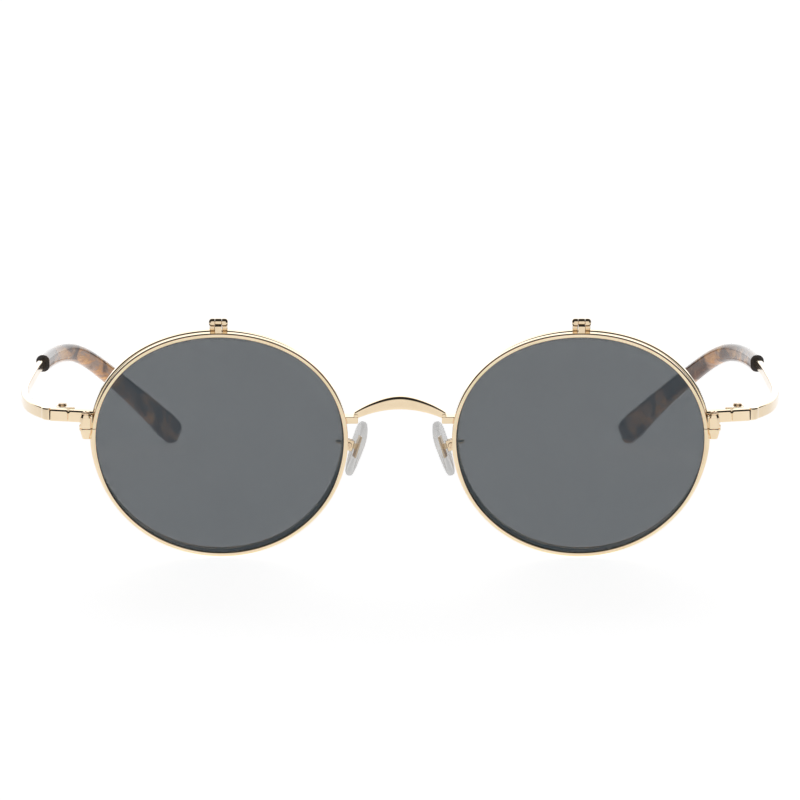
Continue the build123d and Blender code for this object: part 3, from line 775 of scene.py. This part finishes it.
# ---- temples -----------------------------------------------------------------------------------------------
ARM_ROUTE = [(69.85, 0.1, 29.2), (72.5, 5.6, 29.1), (75.3, 17.0, 28.9), (76.5, 33.0, 28.6),
             (76.5, 50.0, 28.3), (75.9, 66.4, 28.0)]
TIP_ROUTE = [(75.9, 66.4, 28.0), (74.2, 78.0, 27.9), (70.7, 88.4, 26.6), (64.4, 100.0, 20.1),
             (56.2, 112.0, 10.1), (50.3, 120.3, 2.4)]
TIP_START = (-0.12, 0.99, -0.01)
TIP_END = (-0.50, 0.70, -0.62)
ARM_STATIONS = [(0.0, 2.4, 1.5, 0.3), (0.12, 2.4, 1.5, 0.3), (0.35, 2.4, 1.5, 0.4), (0.6, 2.35, 1.4, 0.45),
                (0.85, 2.2, 1.2, 0.4), (1.0, 2.2, 1.2, 0.4)]
TIP_STATIONS = [(0.0, 3.6, 2.9, 1.35), (0.12, 3.8, 3.0, 1.4), (0.25, 3.9, 3.0, 1.4), (0.38, 3.9, 3.0, 1.4),
                (0.5, 4.0, 3.0, 1.4), (0.62, 4.3, 3.0, 1.4), (0.75, 4.8, 3.0, 1.4), (0.86, 5.5, 3.0, 1.4),
                (0.94, 6.0, 2.9, 1.4), (0.985, 5.04, 2.5, 1.2)]
SEAM_X = 69.0


def build_temples():
    middle = HINGE_MIDDLE
    tail = smooth_path(ARM_ROUTE, (0.50, 0.86, 0), TIP_START, 160)
    head = smooth_path([(SEAM_X, -0.87, middle), (69.62, -0.52, middle), tuple(tail[2][0])], (1, 0.12, 0),
                       (0.50, 0.86, 0), 14)
    path = head[:-1] + tail[2:]
    shape = Shape().add(softened(loft(bar_along(path, ARM_STATIONS)), 0.06, 2, 60), BACK)
    level = middle - HINGE_TALL / 2
    hinge_eye(shape, level)
    low, high = level + 0.02, level + HINGE_TALL - 0.02
    shape.add(slab(HINGE_X, 70.2, HINGE_Y - 0.75, HINGE_Y + 0.75, low, high, 0.06), BACK)
    shape.pair("temple_arm", "temple", "gold_metal", [GOLD])
    path = smooth_path(TIP_ROUTE, TIP_START, TIP_END, 120)
    rings = bar_along(path, TIP_STATIONS + [(1.0, 3.48, 1.5, 0.7)], 9)
    bm = loft(rings[:-1])
    for face in bm.faces:
        if len(face.verts) > 4 and face.calc_center_median().y < TIP_ROUTE[1][1]:
            face.material_index = 1
    tip = Shape().add(softened(bm, 0.22, 4, 60), BACK)
    tip.pair("temple_tip", "temple", "tortoise_acetate", [TORTOISE, TORTOISE_CUT])


# ---- nose pads ---------------------------------------------------------------------------------------------
PAD_OUTLINE = [(-3.6, 1.4), (-2.2, 3.9), (0.4, 5.2), (2.7, 4.2), (3.6, 1.0), (3.1, -2.8), (1.5, -5.6),
               (-0.4, -5.9), (-2.2, -3.2)]
PAD_THICK, PAD_ROUND, PAD_STAND_OFF = 1.5, 0.6, 0.30
BOX_WIDTH, BOX_HEIGHT, BOX_DEPTH, BOX_WALL = 2.4, 2.2, 1.9, 0.30
PAD_PLACE = BACK @ moved(8.5, 6.2, 21.3) @ turned_by(-11, "Z") @ turned_by(-17, "Y")
PAD_AXIS_X = PAD_THICK / 2 + PAD_STAND_OFF + BOX_DEPTH / 2


def closed_curve(points, per_span=10):
    """Smooth closed curve through points in a plane."""
    out = []
    count = len(points)
    for i in range(count):
        a, b, c, d = (np.array(points[(i + k) % count], float) for k in (-1, 0, 1, 2))
        for k in range(per_span):
            u = k / per_span
            out.append(b + 0.5 * u * (c - a + u * (2 * a - 5 * b + 4 * c - d + u * (3 * (b - c) + d - a))))
    return np.array(out)


def drawn_in(curve, inset):
    """Closed curve moved inward by a distance."""
    ahead = np.roll(curve, -1, axis=0) - np.roll(curve, 1, axis=0)
    ahead /= np.linalg.norm(ahead, axis=1)[:, None]
    inward = np.stack((ahead[:, 1], -ahead[:, 0]), axis=1)
    return curve + inward * inset


def build_pads():
    half, r = PAD_THICK / 2, PAD_ROUND
    edge = drawn_in(closed_curve(PAD_OUTLINE), 0.01)
    flat = [(0.0, 2.2)]
    soft = [(r - r * math.cos(math.radians(t)), r - r * math.sin(math.radians(t))) for t in range(0, 91, 15)]
    steps = [(u, v) for u, v in flat + soft]
    rings = [[(-half + u, *p) for p in drawn_in(edge, v)] for u, v in steps]
    rings += [[(half - u, *p) for p in drawn_in(edge, v)] for u, v in reversed(steps)]
    pad = Shape().add(loft(rings, start=(-half, 0, 0), end=(half, 0, 0)), PAD_PLACE)
    pad.pair("nose_pad", "pad", "clear_silicone", [SILICONE], sharp=70)
    x0 = half + PAD_STAND_OFF
    x1 = x0 + BOX_DEPTH
    w, slot, wall = BOX_WIDTH / 2, 0.5, x1 - BOX_WALL
    plan = [(x0, -w), (x1, -w), (x1, w), (x0, w), (x0, slot), (wall, slot), (wall, -slot), (x0, -slot)]
    arm = Shape().add(prism(plan, -BOX_HEIGHT / 2, BOX_HEIGHT / 2, "Z", 0.13, 3), PAD_PLACE)
    run_in = PAD_PLACE @ Vector((x1 + 2.0, 0, 0))
    end = PAD_PLACE @ Vector((x1 - 0.1, 0, 0))
    route = [BACK @ Vector(p) for p in ((10.84, 0.75, 22.9), (11.2, 3.0, 22.7))]
    arm.add(tube(bent_wire(route + [run_in, end], [1.2, 0.85]), 0.45, 28))
    arm.pair("pad_arm", "front", "gold_metal", [GOLD_FITTINGS])
    fixing = Shape()
    for shell in slotted_screw(BOX_WIDTH - SCREW_END_GAP, *PAD_SCREW):
        fixing.add(shell, PAD_PLACE @ moved(PAD_AXIS_X, -w, 0) @ turned_by(90, "X") @ turned_by(35, "Z"))
    fixing.pair("pad_screw", "front", "gold_screw", [SCREW])
    lug = Shape().add(slab(-0.2, 0.2, -1.2, 1.2, -2.2, 2.2, 0.12), PAD_PLACE)
    end_arc = arc(PAD_AXIS_X, 0, 0.55, -90, 90, 16)
    lug.add(prism([(0, 0.55), (0, -0.55)] + end_arc, -0.4, 0.4, "Y", 0.06), PAD_PLACE)
    lug.pair("pad_lug", "pad", "gold_metal", [GOLD_FITTINGS])


def dress_pins():
    """The flip pins stay as the CAD made them, in drawn steel."""
    for side, _ in SIDES:
        node = frame["nodes"][side + "_flip_pin"]
        for slot_holder in node.material_slots:
            slot_holder.material = PIN


build_rims()
build_flip_hinges()
build_bridge()
build_endpieces()
build_hinges()
build_temples()
build_pads()
dress_pins()


# ---- floor, light and camera -------------------------------------------------------------------------------
def build_floor():
    """Pale table with a painted glow: it gives off light of its own, brightest in a pool about the glasses and
    dimmer far to either side.
    """
    m = Nodes("pale_floor_painted_glow").set(Roughness=0.9)
    m.set(**{"Specular_IOR_Level": 0.0})
    m.colour(m.ramp(m.noise(0.02, 3.0), [(0.3, (0.86, 0.86, 0.86)), (0.7, (0.88, 0.88, 0.88))]))
    m.set(Emission_Color=(1, 1, 1, 1))
    parts = m.tree.nodes.new("ShaderNodeSeparateXYZ")
    m.link(m.where, parts.inputs["Vector"])
    aside = m.sum("ABSOLUTE", parts.outputs["X"])
    painted_glow_pool = m.sum("MULTIPLY_ADD", parts.outputs["Y"], -0.12, aside)
    # painted light: the floor glows, with a pool of emission about the glasses that fades far to either side
    m.link(m.ramp(painted_glow_pool, [(0.11, 0.85), (0.45, 0.42)]), m.shader.inputs["Emission Strength"])
    mesh = bpy.data.meshes.new("floor")
    reach = 6.0
    corners = [(-reach, -reach, 0), (reach, -reach, 0), (reach, reach, 0), (-reach, reach, 0)]
    mesh.from_pydata(corners, [], [(0, 1, 2, 3)])
    mesh.materials.append(m.material)
    floor = bpy.data.objects.new("floor", mesh)
    floor.location.z = -0.00002
    bpy.context.scene.collection.objects.link(floor)


def build_world():
    """Bright walls before and behind, dark ceiling and sides, so polished edges show dark lines."""
    world = bpy.data.worlds.new("studio")
    bpy.context.scene.world = world
    world.use_nodes = True
    tree = world.node_tree
    sky = tree.nodes["Background"]
    where = tree.nodes.new("ShaderNodeTexCoord")
    parts = tree.nodes.new("ShaderNodeSeparateXYZ")
    half = tree.nodes.new("ShaderNodeMath")
    half.operation = "MULTIPLY_ADD"
    half.inputs[1].default_value = 0.5
    half.inputs[2].default_value = 0.5
    ramp = tree.nodes.new("ShaderNodeValToRGB")
    stops = [(0.0, 0.60), (0.10, 0.52), (0.17, 0.015), (0.83, 0.015), (0.90, 0.85), (1.0, 1.0)]
    while len(ramp.color_ramp.elements) < len(stops):
        ramp.color_ramp.elements.new(0.5)
    for element, (place, level) in zip(ramp.color_ramp.elements, stops):
        element.position = place
        element.color = (level, level, level, 1)
    tree.links.new(where.outputs["Generated"], parts.inputs["Vector"])
    tree.links.new(parts.outputs["Y"], half.inputs[0])
    tree.links.new(half.outputs["Value"], ramp.inputs["Fac"])
    tree.links.new(ramp.outputs["Color"], sky.inputs["Color"])
    sky.inputs["Strength"].default_value = 1.75


def build_camera():
    camera = bpy.data.objects.new("camera", bpy.data.cameras.new("camera"))
    bpy.context.scene.collection.objects.link(camera)
    target = Vector((0, -0.060, 0.0322))
    elevation, distance = math.radians(10.0), 0.850
    camera.location = target + Vector((0, -math.cos(elevation), math.sin(elevation))) * distance
    camera.rotation_euler = (target - camera.location).to_track_quat("-Z", "Y").to_euler()
    camera.data.sensor_width = 36.0
    camera.data.lens = 194.5
    camera.data.clip_start = 0.01
    bpy.context.scene.camera = camera


build_floor()
build_world()
build_camera()
bpy.context.scene.view_settings.view_transform = "Standard"
bpy.context.scene.view_settings.look = "None"
